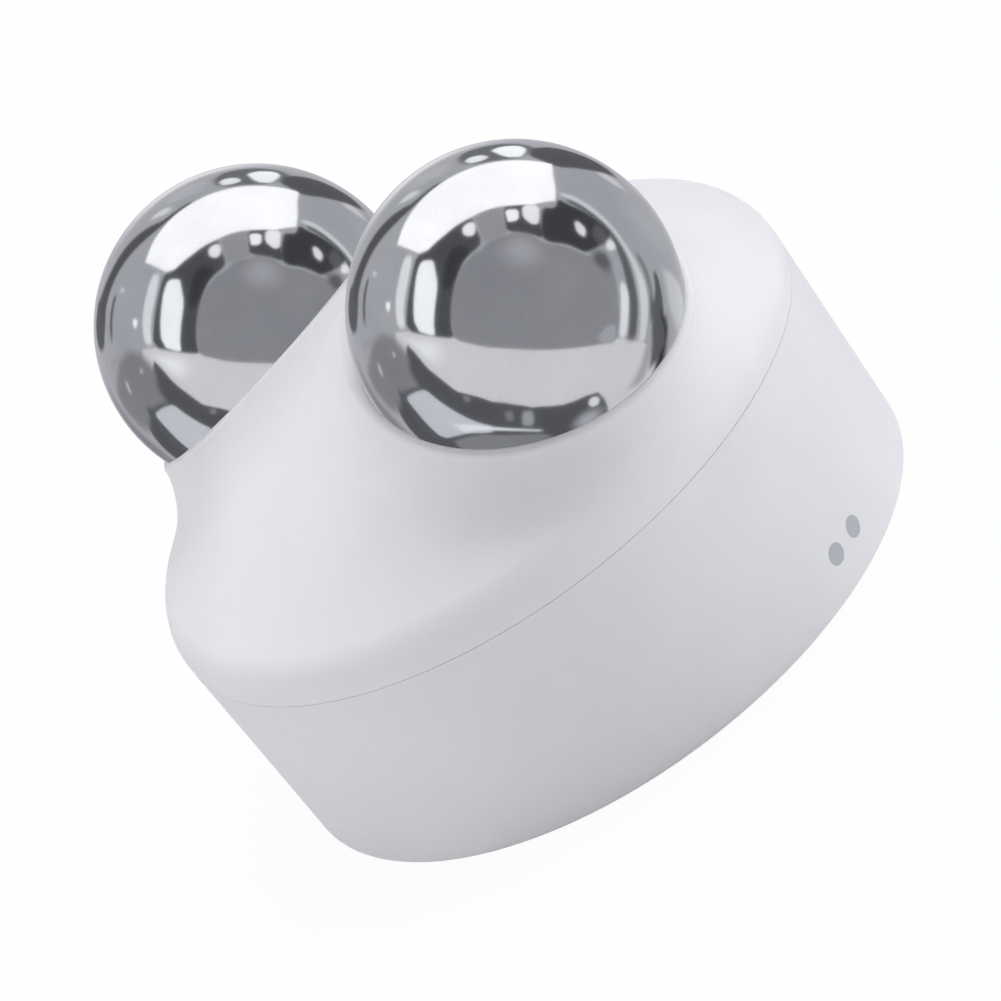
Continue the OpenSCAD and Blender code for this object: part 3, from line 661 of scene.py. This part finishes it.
def add_tent_half(name, shade, edge, pole):
    """The tent above or below its opening, whose edge is a list of (lon, lat)."""
    lons = np.linspace(-180, 180, TENT_COLUMNS)
    lats = np.interp(lons, *zip(*edge))
    steps = np.linspace(0, 1, TENT_ROWS)
    points = [direction(lon, lat + (pole - lat) * t) for lon, lat in zip(lons, lats) for t in steps]
    hang(name, shade, points, strip(TENT_ROWS, TENT_COLUMNS, closed=False), [1.0] * len(points))


add_tent_half("tent_top", "#9b9ca0", [
    (-180, -30), (-95, -30), (-91, -11), (-72, -12), (-58, -16), (-43, -19), (-23, -25), (0, -27),
    (24, -27), (40, -25), (62, -19), (73, -16), (103, -14), (127, -18), (150, -18), (152, -30), (180, -30)
], 90)
add_tent_half("tent_bottom", "#505154", [
    (-180, -30), (-95, -30), (-82, -18), (-77, -24), (-73, -33), (-67, -41), (-61, -51), (-52, -55),
    (-42, -59), (-31, -64), (0, -68), (26, -69), (49, -65), (62, -61), (70, -56), (76, -50), (84, -45),
    (107, -45), (150, -45), (152, -30), (180, -30)
], -90)

# far left and far right of the tent, seen near the spheres' rims
add_card("rim_light", "#c4c5c8", [
    (-148, 14), (-154, 26), (-166, 31), (-180, 29), (-184, 16), (-176, 7), (-162, 5)
], 0.9, 2)
add_card("left_high_grey", "#a6a7ab", [
    (-153, 24), (-162, 27), (-164, 37), (-151, 52), (-144, 50), (-139, 43), (-143, 33)
], 0.6)
add_card("left_grey", "#9c9da1", [
    (-103, 28), (-90, 28), (-89, 8), (-88, -8), (-99, -5), (-102, -7), (-116, -4), (-119, 8), (-114, 19),
    (-110, 25)
], 0.3)
add_band("left_band_dark", "#4e4f52", [
    (-141, 2, 20), (-137, 10, 14), (-134, 18, 14), (-130, 26, 13), (-126, 33, 11), (-123, 40, 6),
    (-127, 46, 4.5), (-136, 52, 4)
], 0.5)
add_card("left_dark", "#55565a", [(-154, 6), (-133, 9), (-130, 1), (-136, -5), (-148, -4), (-156, 0)], 0.25)
add_band("left_line_dark", "#5c5d60", [(-121, 12, 3), (-123, 6, 5), (-123, -6, 4)])
add_band("left_line_light", "#98999c", [(-127, 9, 3), (-128, 3, 4), (-127, -4, 3)])
add_card("left_streak", "#c4c5c8", [
    (-142, 29), (-144, 34), (-139, 41), (-132, 44), (-131, 41), (-135, 35), (-139, 30)
], 0.5)
add_card("top_dark", "#646568", [
    (-153, 50), (-153, 58), (-164, 61), (180, 62), (173, 56), (172, 40), (178, 31), (-176, 29), (-168, 31),
    (-160, 40)
], 0.2)
add_card("top_patch_a", "#e0e1e3", [
    (-158, 47), (-163, 44), (-167, 46), (-168, 51), (-166, 55), (-160, 56), (-155, 54)
], 0.25)
add_card("top_patch_b", "#ecedef", [
    (-171, 43), (-176, 37), (179, 36), (176, 42), (175, 50), (176, 58), (-176, 59), (-172, 54)
], 0.2)
add_card("right_high_dark", "#515255", [
    (174, 56), (176, 42), (173, 28), (168, 19), (160, 23), (153, 37), (150, 45), (148, 57), (153, 61),
    (160, 60)
], 0.15)
add_card("right_high_grey", "#a2a3a7", [
    (106, 44), (130, 50), (152, 30), (160, 8), (140, 8), (118, 14), (100, 26)
], 1.0)
add_card("right_streak", "#bcbdc0", [(150, 43), (156, 35), (157, 29), (150, 27), (145, 36)], 0.5)
add_card("right_light", "#b8b9bd", [
    (120, 16), (130, 14), (141, 10), (156, 5), (165, 0), (158, -4), (142, -6), (128, -2), (121, 2), (119, 9)
], 0.5)
add_band("right_grey", "#77787b", [(100, 26, 4), (103, 18, 6), (104, 9, 5), (104, 0, 5)])
add_band("right_dark", "#56575a", [
    (113, 16, 4), (113, 9, 8), (112, 2, 14), (112, -5, 18), (118, -10, 24), (125, -14, 20)
])
add_band("right_darkest", "#333436", [(111, 0, 8), (118, -7, 18), (128, -14, 18), (134, -24, 14)], 0.9)
add_band("right_arc", "#c6c7ca", [
    (86, 70, 3.5), (93, 63, 4.5), (92.5, 56, 4.6), (92.5, 48, 4.7), (93, 39, 4), (93, 30, 4.2),
    (94, 21, 5.5), (95.5, 12, 9), (96, 2, 10), (96.5, -8, 8), (98, -16, 8)
])
add_band("right_ring", "#5a5b5e", [
    (80, 66, 3), (85, 58, 3.5), (86.5, 50, 3.5), (88, 42, 3.5), (87, 34, 5), (86, 25, 8), (85, 14, 9),
    (86, 4, 9), (86, -6, 9), (88, -17, 8)
])
add_card("right_shade", "#58595c", [(100, 6), (108, 8), (112, 0), (108, -8), (100, -6)], 0.8)
add_card("low_left_rim", "#77787c", [
    (-145, -5), (-145, -29), (-165, -30), (-179, -20), (-177, -6), (-160, -2)
], 0.7)

# softbox overhead, and the dark flags that frame it
add_card("softbox", "#f8f8f9", [
    (-103, 28), (-112, 36), (-124, 46), (-133, 52), (-152, 59), (180, 62), (156, 58), (135, 68), (93, 71),
    (68, 68), (30, 71), (0, 72), (-29, 69), (-41, 65), (-50, 59), (-59, 51), (-64, 43), (-71, 32), (-78, 29)
], 0.02, 0)
add_card("flag_left", "#48494b", [
    (-72, 31), (-64, 43), (-59, 51), (-49, 59), (-38, 52), (-30, 46), (-28, 41), (-38, 30), (-41, 17),
    (-43, 4), (-44, -13), (-43, -20), (-60, -17), (-80, -12), (-77, 4), (-77, 17), (-79, 28)
], 0.05)
add_card("flag_left_dark", "#37383a", [
    (-54, 35), (-46, 42), (-33, 38), (-40, 25), (-41, 17), (-46, 9), (-51, 9), (-52, 19)
], 0.3)
add_card("ceiling_grey", "#8d8e91", [
    (-49, 59), (-41, 65), (-28, 69), (-21, 70), (-13, 59), (-7, 51), (-12, 48), (-23, 44), (-28, 44),
    (-32, 48), (-39, 54)
], 0.05)
add_card("flag_top", "#47484a", [
    (-21, 70), (-12, 58), (-8, 51), (15, 49), (24, 45), (26, 56), (38, 68), (20, 72), (0, 72)
], 0.06)
add_card("flag_right", "#3a3b3d", [
    (25, 56), (38, 68), (56, 65), (76, 69), (77, 63), (82, 57), (85, 50), (87, 43), (88, 37), (70, 34),
    (55, 32), (47, 37), (40, 40), (28, 42), (22, 46)
], 0.08)
add_card("flag_right_soft", "#56575a", [(66, 42), (75, 47), (84, 48), (87, 40), (80, 33), (68, 34)], 0.5)
add_card("middle_grey", "#828387", [
    (-44, 4), (-41, 17), (-39, 25), (-34, 33), (-27, 38), (-23, 44), (-12, 48), (0, 51), (14, 50), (21, 44),
    (29, 41), (40, 39), (53, 32), (66, 28), (73, 24), (73, 4), (74, -7), (75, -18), (62, -21), (50, -24),
    (40, -26), (24, -28), (0, -28), (-23, -26), (-34, -23), (-43, -20), (-44, -13)
], 0.02)
add_card("flag_right_low", "#5a5b5e", [(56, 34), (66, 36), (76, 32), (76, 20), (66, 17), (57, 24)], 0.7)
add_card("middle_light", "#9b9ca0", [
    (-22, 38), (-14, 50), (2, 56), (20, 50), (30, 38), (24, 24), (5, 18), (-14, 24)
], 1.0, 2)
add_card("middle_corner", "#999a9e", [(64, -9), (72, -7), (75, -18), (62, -21), (57, -17)], 0.3)

# lamps in a row round the ceiling, and strips at the sides
add_card("lamp_a", "#ededee", [(-16, 68), (5, 69), (4, 60), (-8, 58), (-11, 62)], 0.1)
add_card("lamp_b", "#e0e0e2", [(10, 72), (39, 70), (28, 60), (24, 56), (17, 56), (8, 62)], 0.1)
add_card("lamp_c", "#e8e8ea", [
    (-53, 50), (-51, 54), (-46, 56), (-41, 54), (-37, 49), (-38, 46), (-43, 45), (-48, 46)
], 0.15)
add_card("lamp_d", "#dededf", [(61, 53), (67, 53), (68, 47), (66, 44), (60, 41), (56, 46)], 0.3)
add_card("lamp_e", "#e2e2e4", [(77, 36), (83, 37), (86, 34), (84, 31), (80, 30), (75, 31), (74, 33)], 0.3)
add_card("strip_left", "#ecedef", [
    (-73, 26), (-63, 28), (-59, 23), (-55, 16), (-54, 10), (-55, 0), (-57, -12), (-57, -17), (-72, -12),
    (-72, 11), (-73, 18)
], 0.04)
add_card("strip_left_far", "#d4d5d8", [
    (-89, 28), (-82, 29), (-79, 21), (-78, 12), (-79, 5), (-80, -5), (-80, -12), (-87, -11), (-88, 1),
    (-88, 15), (-89, 23)
], 0.2)
add_card("strip_right", "#d5d6d9", [
    (75, 15), (80, 15), (82, 8), (81, -2), (82, -17), (75, -16), (74, 0)
], 0.2)
add_card("spot_left", "#f0f0f2", [(-98, 4), (-92, 4), (-92, 1), (-94, -2), (-97, 0)], 0.5)
add_card("spot_far_left", "#bcbdc1", [(-120, 14), (-113, 15), (-110, 13), (-116, 12)], 0.5)
add_card("spot_middle", "#96979a", [(6, -4), (8, -4), (8, -6), (6, -6)], 0.5)

# the floor's edges, and what hangs under it
add_card("floor_left", "#dedfe1", [
    (-90, -11), (-72, -13), (-52, -17), (-46, -28), (-60, -38), (-74, -30), (-80, -19)
], 0.9)
add_band("floor_right", "#9a9b9f", [(104, -10, 10), (110, -20, 16), (117, -32, 20)], 1.0)
add_card("low_left", "#7a7b7e", [
    (-131, -12), (-120, -9), (-102, -7), (-89, -11), (-82, -18), (-81, -24), (-87, -32), (-88, -41),
    (-101, -38), (-115, -35), (-135, -33), (-150, -25), (-150, -12)
], 0.3)
add_card("low_left_patch", "#939498", [(-134, -8), (-119, -8), (-114, -10), (-124, -12), (-139, -11)], 0.7)
add_band("low_left_dark", "#55565a", [(-113, -31, 6), (-122, -37, 7), (-134, -43, 7), (-146, -46, 6)], 0.6)
add_card("under_grey", "#7a7b7f", [
    (-139, -52), (-125, -64), (-115, -74), (180, -87), (110, -77), (120, -70), (150, -65), (180, -60),
    (-160, -52)
], 0.1)
add_card("under_wedge", "#b9bbbf", [
    (-115, -35), (-101, -38), (-88, -41), (-86, -50), (-84, -60), (-83, -70), (-75, -80), (-110, -80),
    (-117, -68), (-128, -60), (-139, -49), (-127, -45), (-120, -41)
], 0.06)
add_band("under_edge", "#d9dadd", [
    (-117, -60, 10), (-100, -70, 8), (-88, -80, 4), (0, -89, 3), (95, -82, 2.5), (103, -76, 2)
], 0.6)
add_card("under_soft_a", "#77787c", [(-59, -53), (-49, -56), (-56, -61), (-66, -59)], 0.6)
add_card("under_soft_b", "#747579", [(-22, -71), (-2, -71), (-1, -83), (-37, -82)], 0.5)
add_card("under_soft_c", "#96979b", [(8, -71), (30, -69), (84, -80), (53, -87)], 0.5)
add_card("under_soft_d", "#a4a5a9", [
    (84, -57), (95, -45), (115, -42), (135, -50), (120, -64), (98, -66)
], 0.9)
add_card("under_lamp", "#d6d7da", [(81, -50), (84, -47), (91, -46), (98, -48), (95, -52), (87, -53)], 0.3)
add_card("spot_low_a", "#a8a9ad", [(-99, -18), (-95, -19), (-97, -22), (-101, -21)], 0.6)
add_card("spot_low_b", "#adaeb2", [(-122, -17), (-117, -18), (-121, -24), (-125, -22)], 0.6)

add_floor()
add_world()
for number, lamp in enumerate(LAMPS, 1):
    add_lamp(f"soft_lamp_{number}", *lamp)

bpy.context.scene.view_settings.view_transform = "Standard"
